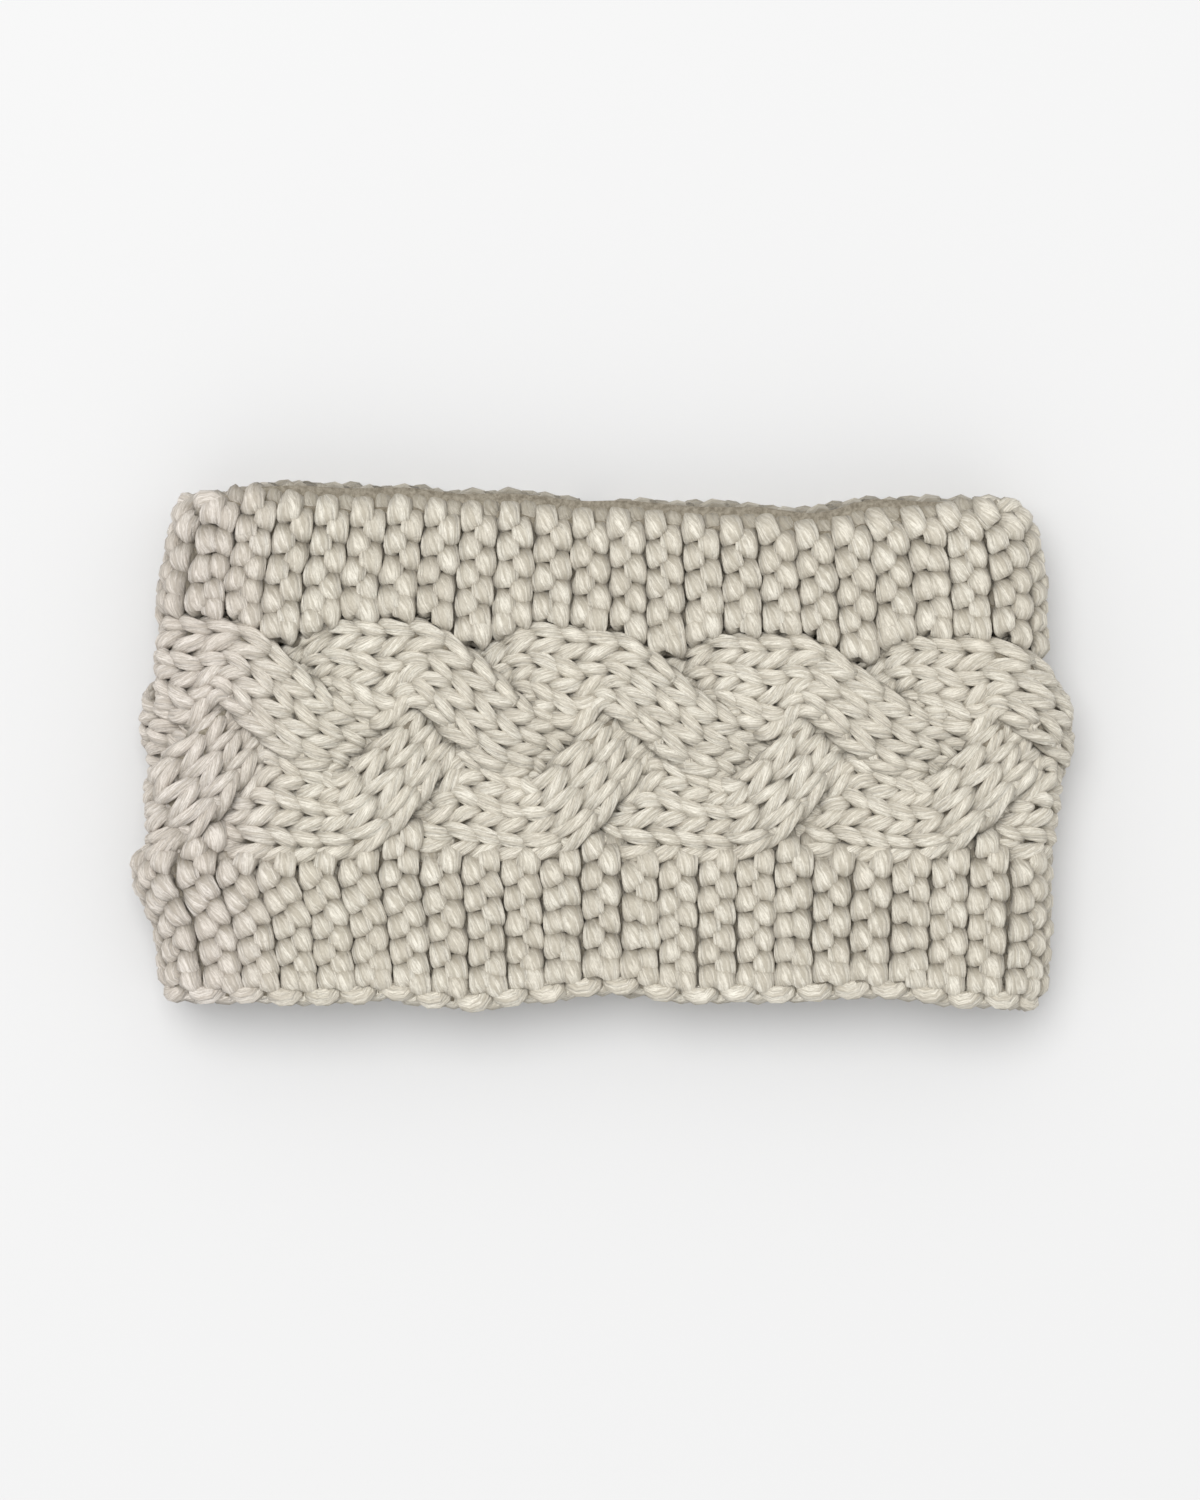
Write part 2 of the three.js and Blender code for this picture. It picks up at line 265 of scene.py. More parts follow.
# How fine a yarn is made: rings along it, and the angles of its sides, which crowd on the side that shows
FINE = (11, np.radians(np.append(np.linspace(-25, 205, 10), (245, 295))))
PLAIN = (8, np.radians(np.append(np.linspace(-20, 200, 6), (245, 295))))
HIDDEN = (7, np.radians(np.arange(0, 360, 60)))
YARN_STARTS = 60.0  # yarns start anywhere in this length of the twist
SIDE_SHADE = (-0.45, 0.5)  # between which heights on its round section a yarn's side comes out of the shade


def add_object(name, data):
    """A new object in the scene."""
    added = bpy.data.objects.new(name, data)
    bpy.context.scene.collection.objects.link(added)
    return added


class YarnBatch:
    """Yarns of one piece, gathered as arrays and then made into one mesh."""

    def __init__(self):
        self.points, self.loops, self.starts, self.totals = [], [], [], []
        self.uvs, self.tones, self.shades = [], [], []
        self.point_count = self.loop_count = 0

    def add(self, points, corners, total, uvs, tones, shades):
        faces = len(corners) // total
        self.points.append(points)
        self.loops.append(corners + self.point_count)
        self.starts.append(self.loop_count + np.arange(faces) * total)
        self.totals.append(np.full(faces, total))
        self.uvs.append(uvs)
        self.tones.append(tones)
        self.shades.append(shades)
        self.loop_count += len(corners)

    def lay(self, controls, widths, heights, shape, fineness, yarn, random, strip=True):
        """Adds yarns by their control points, half widths and heights, and how these and the shade change."""
        if not len(controls):
            return
        rings, angles = fineness
        count = len(controls)
        path = np.einsum("rc,kcx->krx", spline_weights(controls.shape[1], rings), controls)
        *rows, side_shade, fullness = shape
        at = np.linspace(0, 1, rings)
        wide, high, shade = (np.interp(at, np.linspace(0, 1, len(row)), row) for row in rows)
        if strip:
            centres, outwards = bend(path)
        else:
            centres, outwards = path, np.broadcast_to(np.array([0.0, 0.0, 1.0]), path.shape)
        forward = np.gradient(centres, axis=1)
        forward /= np.linalg.norm(forward, axis=-1, keepdims=True) + 1e-9
        sideways = np.cross(forward, outwards)
        sideways /= np.linalg.norm(sideways, axis=-1, keepdims=True) + 1e-9
        upward = np.cross(sideways, forward)
        steps = np.linalg.norm(np.diff(centres, axis=1), axis=-1)
        length = np.concatenate([np.zeros((count, 1)), np.cumsum(steps, axis=1)], axis=1)
        length += random.uniform(0, YARN_STARTS, (count, 1))
        wide_angle, high_angle = (
            np.sign(wave) * np.abs(wave) ** fullness for wave in (np.cos(angles), np.sin(angles))
        )
        turn = angles[None, None, :] - 2 * math.pi * length[..., None] / yarn.twist
        swell = 1 + yarn.ply_depth * np.cos(yarn.plies * turn)
        across = (wide_angle * swell * wide[:, None] * widths[:, None, None])[..., None]
        up = (high_angle * swell * high[:, None] * heights[:, None, None])[..., None]
        points = centres[:, :, None] + across * sideways[:, :, None] + up * upward[:, :, None]
        points[..., 2] = np.maximum(points[..., 2], TABLE)
        low = side_shade * (1 - eased(np.sin(angles), *SIDE_SHADE))
        shades = np.broadcast_to(np.maximum(shade[:, None], low), (count, rings, len(angles)))
        self.skin(points, length, angles, shades, random)

    def skin(self, points, length, angles, shades, random):
        """Joins the rings of points of every yarn with faces, and closes both ends."""
        count, rings, sides = points.shape[:3]
        grid = np.arange(count * rings * sides).reshape(count, rings, sides)
        beside = np.roll(grid, -1, axis=2)
        quads = np.stack([grid[:, :-1], beside[:, :-1], beside[:, 1:], grid[:, 1:]], -1)
        v = np.append(angles, angles[0] + 2 * math.pi) / (2 * math.pi)
        u = np.broadcast_to(length[..., None], (count, rings, sides))
        v_low = np.broadcast_to(v[:-1], (count, rings, sides))
        v_high = np.broadcast_to(v[1:], (count, rings, sides))
        us = np.stack([u[:, :-1], u[:, :-1], u[:, 1:], u[:, 1:]], -1)
        vs = np.stack([v_low[:, :-1], v_high[:, :-1], v_high[:, 1:], v_low[:, 1:]], -1)
        uvs = np.stack([us, vs], -1).reshape(-1, 2)
        tone = np.repeat(random.uniform(0, 1, count), rings * sides)
        self.add(points.reshape(-1, 3), quads.ravel(), 4, uvs, tone, shades.ravel())
        for ring, order in ((0, slice(None, None, -1)), (-1, slice(None))):
            cap = grid[:, ring, order]
            uv = np.stack([u[:, ring, order], v_low[:, ring, order]], -1).reshape(-1, 2)
            self.add(np.empty((0, 3)), cap.ravel(), sides, uv, np.empty(0), np.empty(0))
        self.point_count += count * rings * sides

    def make(self, name, material):
        mesh = bpy.data.meshes.new(name)
        points, loops = np.concatenate(self.points) * MM, np.concatenate(self.loops)
        starts, totals = np.concatenate(self.starts), np.concatenate(self.totals)
        mesh.vertices.add(len(points))
        mesh.vertices.foreach_set("co", points.ravel())
        mesh.loops.add(len(loops))
        mesh.loops.foreach_set("vertex_index", loops.astype(np.int32))
        mesh.polygons.add(len(starts))
        mesh.polygons.foreach_set("loop_start", starts.astype(np.int32))
        mesh.polygons.foreach_set("loop_total", totals.astype(np.int32))
        mesh.update(calc_edges=True)
        if mesh.validate():
            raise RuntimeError(f"{name}: its mesh had faults")
        mesh.polygons.foreach_set("use_smooth", np.ones(len(starts), dtype=bool))
        uv_map = mesh.uv_layers.new(name="along_yarn")
        uv_map.data.foreach_set("uv", np.concatenate(self.uvs).ravel())
        for attribute, values in (("tone", self.tones), ("shade", self.shades)):
            mesh.attributes.new(attribute, "FLOAT", "POINT").data.foreach_set("value", np.concatenate(values))
        mesh.materials.append(material)
        piece = add_object(name, mesh)
        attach(piece, "root")
        return piece


def new_material(name):
    material = bpy.data.materials.new(name)
    material.use_nodes = True
    nodes = material.node_tree.nodes
    nodes.clear()
    output = nodes.new("ShaderNodeOutputMaterial")
    shader = nodes.new("ShaderNodeBsdfPrincipled")
    material.node_tree.links.new(shader.outputs["BSDF"], output.inputs["Surface"])
    return material, shader


def join(tree, source, socket):
    """Sets a socket to a number, or links another node to it."""
    if isinstance(source, (int, float)):
        socket.default_value = source
    else:
        tree.links.new(source, socket)


def calculate(tree, operation, *values):
    node = tree.nodes.new("ShaderNodeMath")
    node.operation = operation
    for value, socket in zip(values, node.inputs):
        join(tree, value, socket)
    return node.outputs[0]


def spread(tree, value, low, high, to_low=0.0, to_high=1.0):
    """A value eased from one range to another."""
    node = tree.nodes.new("ShaderNodeMapRange")
    node.interpolation_type = "SMOOTHSTEP"
    join(tree, value, node.inputs["Value"])
    for name, given in (("From Min", low), ("From Max", high), ("To Min", to_low), ("To Max", to_high)):
        node.inputs[name].default_value = given
    return node.outputs["Result"]


def noise(tree, place, scale, detail, rough=0.55):
    node = tree.nodes.new("ShaderNodeTexNoise")
    tree.links.new(place, node.inputs["Vector"])
    node.inputs["Scale"].default_value = scale
    node.inputs["Detail"].default_value = detail
    node.inputs["Roughness"].default_value = rough
    return node.outputs["Fac"]


def vector(tree, x, y, z):
    node = tree.nodes.new("ShaderNodeCombineXYZ")
    for value, socket in zip((x, y, z), node.inputs):
        join(tree, value, socket)
    return node.outputs[0]


def blend_colours(tree, share, first, second, mode="MIX"):
    node = tree.nodes.new("ShaderNodeMix")
    node.data_type = "RGBA"
    node.blend_type = mode
    join(tree, share, node.inputs["Factor"])
    for given, socket in ((first, node.inputs[6]), (second, node.inputs[7])):
        if isinstance(given, tuple):
            socket.default_value = (*given, 1.0)
        else:
            tree.links.new(given, socket)
    return node.outputs[2]


FIBRE_ROUND, FIBRE_ALONG = 3.0, 0.22  # how fast the fibres' noise changes round a yarn and along it
# The left end's tint is painted light: a pink cast of the light
PINK_STARTS, PINK_ENDS = -0.066, -0.092  # where the left end's tint sets in and where it is whole, in metres


def add_bump(tree, shader, height, depth):
    """Gives a material's surface a relief."""
    bump = tree.nodes.new("ShaderNodeBump")
    bump.inputs["Strength"].default_value = 1.0
    bump.inputs["Distance"].default_value = depth
    tree.links.new(height, bump.inputs["Height"])
    tree.links.new(bump.outputs["Normal"], shader.inputs["Normal"])


def read_attribute(tree, name):
    """A value that is kept per point of the mesh."""
    node = tree.nodes.new("ShaderNodeAttribute")
    node.attribute_name = name
    return node.outputs["Fac"]


def wool_material(yarn):
    """Plied wool: twisted plies, fine fibres along them, and tones that change from stitch to stitch, with
    painted shade in the ply grooves and deep between the stitches, and a painted pink cast of light towards
    the left end.
    """
    material, shader = new_material("plied wool")
    tree = material.node_tree
    place = tree.nodes.new("ShaderNodeTexCoord").outputs["Object"]
    uv = tree.nodes.new("ShaderNodeUVMap")
    uv.uv_map = "along_yarn"
    split = tree.nodes.new("ShaderNodeSeparateXYZ")
    tree.links.new(uv.outputs["UV"], split.inputs[0])
    tone = read_attribute(tree, "tone")
    along, around = split.outputs["X"], split.outputs["Y"]
    turns = calculate(tree, "SUBTRACT", around, calculate(tree, "DIVIDE", along, yarn.twist))
    angle = calculate(tree, "MULTIPLY", turns, 2 * math.pi)
    ply = calculate(tree, "COSINE", calculate(tree, "MULTIPLY", angle, float(yarn.plies)))
    ply_height = spread(tree, ply, -1.0, 0.5)
    fibre_place = vector(
        tree,
        calculate(tree, "MULTIPLY", calculate(tree, "COSINE", angle), FIBRE_ROUND),
        calculate(tree, "MULTIPLY", calculate(tree, "SINE", angle), FIBRE_ROUND),
        calculate(tree, "MULTIPLY", along, FIBRE_ALONG),
    )
    fibres = noise(tree, fibre_place, 3.2, 4.0, 0.7)
    strands = noise(tree, fibre_place, 1.5, 3.0, 0.65)
    nap = noise(tree, place, 1500.0, 3.0, 0.75)
    patch = noise(tree, place, 22.0, 3.0)
    mottle = noise(tree, place, 160.0, 2.0)

    light, mid, dark = (tuple(colour) for colour in (yarn.light_wool, yarn.mid_wool, yarn.streak_and_shade_wool))
    colour = mid
    # Tone, mottle and patch are the wool's own shades of colour, and fibres, strands and nap its own dark
    # streaks; the ply row is painted shade in the grooves between the plies
    for value, none, whole, most, wool_colour in (
        (tone, 0.0, 1.0, 1.0, light),
        (mottle, 0.35, 0.7, 0.35, light),
        (patch, 0.45, 0.75, 0.30, mid),
        (fibres, 0.58, 0.38, 0.60, dark),
        (strands, 0.55, 0.38, 0.75, dark),
        (nap, 0.50, 0.30, 0.35, dark),
        (ply, -0.45, -1.0, 0.5, dark),
    ):
        colour = blend_colours(tree, spread(tree, value, none, whole, 0.0, most), colour, wool_colour)
    # Painted light: a pink cast of the light, multiplied in towards the left end
    from_left = tree.nodes.new("ShaderNodeSeparateXYZ")
    tree.links.new(place, from_left.inputs[0])
    pink = spread(tree, from_left.outputs["X"], PINK_STARTS, PINK_ENDS, 0.0, 0.55)
    colour = blend_colours(tree, pink, colour, tuple(yarn.pink_light_cast), "MULTIPLY")
    # Painted shade: yarn ends and sides deep between the stitches, as the shade attribute marks them, are
    # darkened towards the painted shade colour
    deep = calculate(tree, "MULTIPLY", read_attribute(tree, "shade"), yarn.painted_shade_share)
    colour = blend_colours(tree, deep, colour, tuple(yarn.painted_shade_wool))
    tree.links.new(colour, shader.inputs["Base Color"])
    shader.inputs["Roughness"].default_value = 0.92
    shader.inputs["Specular IOR Level"].default_value = 0.08
    shader.inputs["Sheen Weight"].default_value = 0.2
    shader.inputs["Sheen Roughness"].default_value = 0.45
    shader.inputs["Sheen Tint"].default_value = (1.0, 0.97, 0.92, 1.0)

    height = calculate(tree, "MULTIPLY", ply_height, 0.9)
    for layer, share in ((fibres, 0.6), (strands, 0.9), (nap, 0.8)):
        height = calculate(tree, "ADD", height, calculate(tree, "MULTIPLY", layer, share))
    add_bump(tree, shader, height, yarn.fibre_depth)
    return material


def ground_material(yarn):
    """Painted shade for the wool deep between the stitches."""
    material, shader = new_material("painted shade between the stitches")
    tree = material.node_tree
    place = tree.nodes.new("ShaderNodeTexCoord").outputs["Object"]
    # Painted shade, a little lighter here and there by noise
    fine = noise(tree, place, 900.0, 4.0, 0.7)
    lit = spread(tree, fine, 0.3, 0.7, 0.0, 0.5)
    colour = blend_colours(tree, lit, tuple(yarn.painted_shade_wool), tuple(yarn.streak_and_shade_wool))
    tree.links.new(colour, shader.inputs["Base Color"])
    shader.inputs["Roughness"].default_value = 0.95
    shader.inputs["Specular IOR Level"].default_value = 0.1
    add_bump(tree, shader, fine, yarn.fibre_depth)
    return material


def wool(yarn):
    return bpy.data.materials.get("plied wool") or wool_material(yarn)


# One garter stitch's left-hand bump, seen from outside. The right-hand one is its mirror image.
# x: millimetres across the rib; y: share of the stitch pitch; out: millimetres above the strip's middle
GARTER_BUMP = np.array([
    (-1.2, -0.42, -1.9), (-1.6, -0.52, 0.0), (-1.85, -0.40, 1.8), (-1.85, -0.15, 1.95),
    (-1.75, 0.09, 0.7), (-1.6, 0.28, -0.9), (-1.3, 0.48, -2.4),
])
# The same for the topmost one, which nothing covers
TOP_BUMP = np.array([
    (-1.2, -0.40, -1.9), (-1.5, -0.49, 0.0), (-1.8, -0.37, 1.9), (-1.85, -0.16, 1.8),
    (-1.85, 0.04, 1.0), (-1.75, 0.22, -0.3), (-1.5, 0.36, -2.0),
])
# Width, height and shade along a yarn, the shade of its sides, all as shares,
# and the power that squares its section
GARTER_SHAPE = (
    (1.0, 1.14, 1.14, 1.1, 1.08, 1.02, 0.85),
    (0.35, 0.48, 0.82, 1.0, 1.0, 0.9, 0.6),
    (1.0, 1.0, 0.0, 0.25, 0.85, 1.0, 1.0),
    0.6, 0.66,
)
TOP_SHAPE = (*GARTER_SHAPE[:2], (1.0, 0.95, 0.05, 0.15, 0.4, 0.65, 0.9), 0.35, 0.66)
ARCH_SHAPE = (
    (0.5, 0.96, 1.03, 1.0, 0.98, 0.9, 0.5),
    (0.5, 0.96, 1.03, 1.0, 0.98, 0.9, 0.5),
    (1.0, 0.4, 0.0, 0.0, 0.0, 0.4, 1.0),
    0.8, 1.0,
)
# One turned stitch at a border's outer edge. along and out: millimetres; across: share of the pitch
SELVEDGE_BUMP = np.array([
    (-3.4, 0.45, -1.8), (-2.6, 0.12, 0.2), (0.0, -0.05, 1.5), (2.6, 0.12, 0.2), (3.4, 0.45, -1.8),
])
FRONT_REACH = STRAIGHT_HALF + FOLD_LENGTH * 0.75  # how far from the front's middle fine stitches go
ROLLED_EDGE = 2.6
ROLL_EASE = 22.0
LEAST_RIB = 0.3  # how much of a rib has to fit in at an end of the strip
UPPER_MARGIN, LOWER_MARGIN = 1.1, 1.5  # room for the turned stitches, as shares of their height
HALF_RIB = 2.0  # how far from a rib's middle its halves are measured
HALF_STITCH = {1.0: 0.22, -1.0: -0.28}  # how far up the left-hand and right-hand bumps lie, in pitches
INSIDE_SHIFT = 0.1  # how much nearer to the outer edge the inside's bumps lie, in pitches
INSIDE_DEPTH = 0.7  # how near the inside's bumps come to the strip's middle surface
# Which bumps near the cable are kept, by their height above its edge, and how low the lowest may lie above
# that edge in the upper border and above the outermost row in the lower one, all in pitches
UPPER_KEPT_FROM, UPPER_LEAST = -0.1, 0.52
LOWER_KEPT_TO, LOWER_LEAST = 0.6, 0.1
BUMP_ASIDE = np.array([0.1, 0.0, 0.0])
GARTER_HEIGHT = 0.86  # a garter yarn's height as a share of its width
SIZE_SPREAD, PLACE_SPREAD, TILT_SPREAD = 0.03, 0.13, 0.05  # how uneven hand-knitted stitches are
PLACE_SHARES = np.array([1.0, 1.0, 0.45])  # how much a stitch strays along, across and outward


def shaken(random, controls, reach):
    """Every yarn moved and tilted a little by itself."""
    count = len(controls)
    moved = controls + random.normal(0, reach, (count, 1, 3)) * PLACE_SHARES
    middle = moved.mean(axis=1, keepdims=True)
    tilt = random.normal(0, TILT_SPREAD, (count, 1))
    offset = moved - middle
    turned = offset.copy()
    turned[..., 0] = offset[..., 0] - tilt * offset[..., 1]
    turned[..., 1] = offset[..., 1] + tilt * offset[..., 0]
    return middle + turned


def rib_middles(offset):
    """Where along the strip the ribs' middles lie."""
    first = math.ceil((-STRIP_END + RIB_PITCH * LEAST_RIB - offset) / RIB_PITCH - 0.5)
    last = math.floor((STRIP_END - RIB_PITCH * LEAST_RIB - offset) / RIB_PITCH - 0.5)
    return offset + (np.arange(first, last + 1) + 0.5) * RIB_PITCH


def rolled(along, edge):
    """How far the front's upper edge is rolled back, so that the back layer shows above it."""
    return np.where(edge == "upper", ROLLED_EDGE * eased(STRAIGHT_HALF - np.abs(along), 0.0, ROLL_EASE), 0.0)


def stitch_rows(along, edge, stitches):
    """Heights and pitch of the stitches of half a rib, from the outer edge to where they meet the cable."""
    up = 1.0 if edge == "upper" else -1.0
    margin = (UPPER_MARGIN if edge == "upper" else LOWER_MARGIN) * stitches.selvedge_margin / MM
    outer = float(edge_height(np.array(along), edge) - rolled(along, edge)) - margin
    plain = CABLE_TOP + float(cable_rise(np.array(along))) if edge == "upper" else -CABLE_BOTTOM
    count = round((outer - plain) / (stitches.garter_pitch / MM))
    pitch = (outer - plain) / count
    rows = outer - (np.arange(count + 2) + 0.5) * pitch
    return up * rows, pitch


def half_rib(middle, hand, edge, face, stitches):
    """The bumps of half a rib, with its topmost one apart. hand: 1 is the left half, and -1 the right."""
    along = middle - hand * HALF_RIB
    rows, pitch = stitch_rows(along, edge, stitches)
    cable = float(cable_edge(np.array(along), edge))
    places = rows + HALF_STITCH[hand] * pitch
    if face < 0:
        places = places + (INSIDE_SHIFT if edge == "upper" else -INSIDE_SHIFT) * pitch
    if edge == "upper":
        places = np.maximum(places[places > cable + UPPER_KEPT_FROM * pitch], cable + UPPER_LEAST * pitch)
    else:
        places = np.maximum(places[places < cable + LOWER_KEPT_TO * pitch], rows[0] + LOWER_LEAST * pitch)
    bumps, tops = [], []
    for place in places:
        top = place == places.max()
        bump = (TOP_BUMP if top else GARTER_BUMP) * np.array([hand, pitch, 1.0]) + BUMP_ASIDE
        controls = bump + np.array([middle, place, 0.0])
        if face < 0:
            controls[:, 2] = np.maximum(controls[:, 2], INSIDE_DEPTH)
        controls[:, 2] *= face
        (tops if top else bumps).append(controls)
    return bumps, tops


def knit_border(edge, offset, face, stitches, yarn, random, batch):
    """Garter stitch on one face of a border: face 1 is the outside of the loop, and -1 the inside."""
    width, height = stitches.garter_radius / MM, stitches.garter_radius / MM * GARTER_HEIGHT
    shift = 0.0 if face > 0 else RIB_PITCH / 2
    for side, fineness in (("front", FINE if face > 0 else PLAIN), ("back", PLAIN)):
        bumps, tops = [], []
        for middle in rib_middles(offset + shift):
            if (abs(middle) < FRONT_REACH) != (side == "front"):
                continue
            for hand in (1.0, -1.0):
                half_bumps, half_tops = half_rib(middle, hand, edge, face, stitches)
                bumps += half_bumps
                tops += half_tops
        for kind, shape in ((bumps, GARTER_SHAPE), (tops, TOP_SHAPE)):
            if kind:
                sizes = random.normal(1.0, SIZE_SPREAD, len(kind))
                controls = wander(shaken(random, np.array(kind), PLACE_SPREAD))
                batch.lay(controls, width * sizes, height * sizes, shape, fineness, yarn, random)


SELVEDGE_INSET = 1.5  # how far inside the outline the turned stitches lie, in yarn radii
SELVEDGE_ASIDE = 0.8
SELVEDGE_SIZE_SPREAD, SELVEDGE_PLACE_SPREAD = 0.05, 0.2
FLATTENED = 0.9  # the height of yarns that are pressed a little flat, as a share of their width


def knit_selvedge(edge, offset, face, stitches, yarn, random, batch):
    """The turned stitches along a border's outer edge. The front's upper ones are rolled out of sight."""
    up = 1.0 if edge == "upper" else -1.0
    size = stitches.selvedge_radius / MM
    pitch = stitches.garter_pitch / MM
    grooves = rib_middles(offset + (0.0 if face < 0 else RIB_PITCH / 2))
    if edge == "upper":
        grooves = grooves[np.abs(grooves) > STRAIGHT_HALF]
    outer = edge_height(grooves, edge) - size * SELVEDGE_INSET
    controls = SELVEDGE_BUMP[None] * np.array([1.0, -up * pitch, 1.0]) + np.stack(
        [grooves + SELVEDGE_ASIDE, up * outer, np.zeros_like(grooves)], -1
    )[:, None]
    controls[..., 2] *= face
    sizes = size * random.normal(1.0, SELVEDGE_SIZE_SPREAD, len(grooves))
    controls = wander(shaken(random, controls, SELVEDGE_PLACE_SPREAD))
    fineness = PLAIN if face > 0 else HIDDEN
    batch.lay(controls, sizes, sizes * FLATTENED, ARCH_SHAPE, fineness, yarn, random)


# One leg of a knit stitch, from its tip to its open end. on: share of the stitch pitch along the strand;
# beside: share of the column's width from its middle; out: share of the yarn's radius
KNIT_LEG = np.array([
    (0.86, 0.05, -1.5), (0.52, 0.13, 0.35), (0.08, 0.26, 0.75), (-0.38, 0.40, 0.0), (-0.74, 0.47, -1.5),
])
LEG_SHAPE = (
    (0.6, 0.95, 1.02, 1.04, 1.02, 0.92, 0.6),
    (0.6, 0.95, 1.0, 1.0, 1.0, 0.92, 0.6),
    (1.0, 0.5, 0.0, 0.0, 0.15, 0.75, 1.0),
    0.8, 1.0,
)
# The same for a leg at a strand's edge, whose open end goes back under the next one
EDGE_LEG = np.array([
    (0.86, 0.05, -1.5), (0.52, 0.12, 0.35), (0.08, 0.24, 0.75), (-0.40, 0.35, 0.05), (-0.90, 0.30, -1.4),
])
# One purl bump on the inside of the cable
# on: millimetres along the strand; beside: share of the column's width; out: millimetres
PURL_BUMP = np.array([
    (-0.8, -0.46, 0.2), (0.1, -0.36, 0.1), (0.9, -0.16, -0.1),
    (0.9, 0.16, -0.1), (0.1, 0.36, 0.1), (-0.8, 0.46, 0.2),
])
COLUMNS = 3
LEAST_HALF_WIDTH = 8.3  # of a strand, so that no hole shows where it passes under another
CROSSING_STRETCH = (0.25, 0.5)  # how much longer stitches are where a strand crosses over, falling and rising
EDGE_EVENING, COURSE_EVENING = 5, 8  # over how many steps a strand's edges and its direction are evened out
DOME_POWER = 2.6
RAISED_DOME = 1.4  # how much more a strand is domed where it is raised
COLUMN_STAGGER = 0.1  # how far each column is ahead of the one beside it, in stitches
LEG_DEPTH = 1.45  # how far legs lie below the strand's outside, in yarn radii
LEG_HEIGHT = 0.95
LEG_PLACE_SPREAD, LEG_SIZE_SPREAD = 0.12, 0.04
LEG_WIDTHS, LEG_WIDTH_POWER = (0.85, 1.25), 0.7  # how a leg's width follows the strand's
FIRST_STITCH, LAST_STITCH = 0.6, 0.5  # how far from the strand's ends they lie, in stitches
PURL_STEP = 0.25  # how far up and down the strand from a stitch its two purl bumps lie, in stitches
PURL_SPREAD = 0.94  # how wide the purl bumps' columns are, as a share of the strand
PURL_SIZE = 1.05
INSIDE_DOME = 0.6
STRAND_WANDER = WANDER * 0.7


def smoothed(values, reach):
    """A table of values evened out over a number of its steps."""
    bell = np.exp(-0.5 * (np.arange(-2 * reach, 2 * reach + 1) / reach) ** 2)
    padded = np.pad(values, 2 * reach, mode="edge")
    return np.convolve(padded, bell / bell.sum(), mode="valid")


class StrandPath:
    """A strand's course along the strip, read by its own length."""

    STEP = 0.5

    def __init__(self, strand):
        self.along = np.arange(-STRIP_END, STRIP_END + self.STEP, self.STEP)
        low, high, lift = strand_at(strand, self.along)
        low, high = smoothed(low, EDGE_EVENING), smoothed(high, EDGE_EVENING)
        self.middle, self.lift = (low + high) / 2, lift
        slope = np.gradient(smoothed(strand_route(strand, self.along)[2], COURSE_EVENING), self.along)
        self.rising = slope > 0
        stretch = np.hypot(1, slope)
        self.normal = np.stack([-slope / stretch, 1 / stretch], -1)
        self.half = np.maximum((high - low) / 2 / stretch, LEAST_HALF_WIDTH)
        self.length = np.concatenate([[0], np.cumsum((stretch[1:] + stretch[:-1]) / 2 * self.STEP)])

    def stitches(self, pitch):
        """Where along the strand each stitch lies, and its pitch, which grows where it crosses over."""
        stretch = np.where(self.rising, CROSSING_STRETCH[1], CROSSING_STRETCH[0])
        local = pitch * (1 + stretch * np.clip(self.lift, 0, None) / STRAND_LIFT)
        count = np.concatenate([[0], np.cumsum(np.diff(self.length) / ((local[1:] + local[:-1]) / 2))])
        middles = np.interp(np.arange(FIRST_STITCH, count[-1] - LAST_STITCH), count, self.length)
        return middles, np.interp(middles, self.length, local)

    def at(self, length, beside, out, dome):
        """Strip points at a length along the strand, a share of its half width aside, and a distance out."""
        def read(values):
            return np.interp(length, self.length, values)
        aside = beside * read(self.half)
        along = read(self.along) + aside * read(self.normal[:, 0])
        across = read(self.middle) + aside * read(self.normal[:, 1])
        raised = np.clip(read(self.lift), 0, None) / STRAND_LIFT
        outward = read(self.lift) + out - dome * (1 + RAISED_DOME * raised) * np.abs(beside) ** DOME_POWER
        return np.stack([along, across, outward], -1)


def knit_legs(path, stitches, yarn, random, batch):
    """Both legs of every knit stitch on the outside of one cable strand."""
    radius, dome = stitches.knit_radius / MM, stitches.strand_dome / MM
    stations, pitches = path.stitches(stitches.knit_pitch / MM)
    middles = np.interp(stations, path.length, path.along)
    halves = np.interp(stations, path.length, path.half)
    widths = np.clip(halves / STRAND_HALF_WIDTH, *LEG_WIDTHS) ** LEG_WIDTH_POWER
    legs = []
    for column in range(COLUMNS):
        centre = 2 * (column + 0.5) / COLUMNS - 1
        for side in (1.0, -1.0):
            leg = EDGE_LEG if side * (column - 1) > 0 else KNIT_LEG
            length = stations[:, None] + (COLUMN_STAGGER * (column - 1) + leg[None, :, 0]) * pitches[:, None]
            out = STRAND_HALF - LEG_DEPTH * radius + radius * leg[:, 2]
            beside = np.broadcast_to(centre + side * leg[:, 1] * 2 / COLUMNS, length.shape)
            legs.append(path.at(length, beside, np.broadcast_to(out, length.shape), dome))
    sizes = radius * np.tile(widths, len(legs))
    sizes = sizes * random.normal(1.0, LEG_SIZE_SPREAD, len(sizes))
    controls = wander(shaken(random, np.concatenate(legs), LEG_PLACE_SPREAD), STRAND_WANDER)
    front = np.abs(np.tile(middles, len(legs))) < FRONT_REACH
    for chosen, fineness in ((front, FINE), (~front, PLAIN)):
        wide = sizes[chosen]
        batch.lay(controls[chosen], wide, wide * LEG_HEIGHT, LEG_SHAPE, fineness, yarn, random)


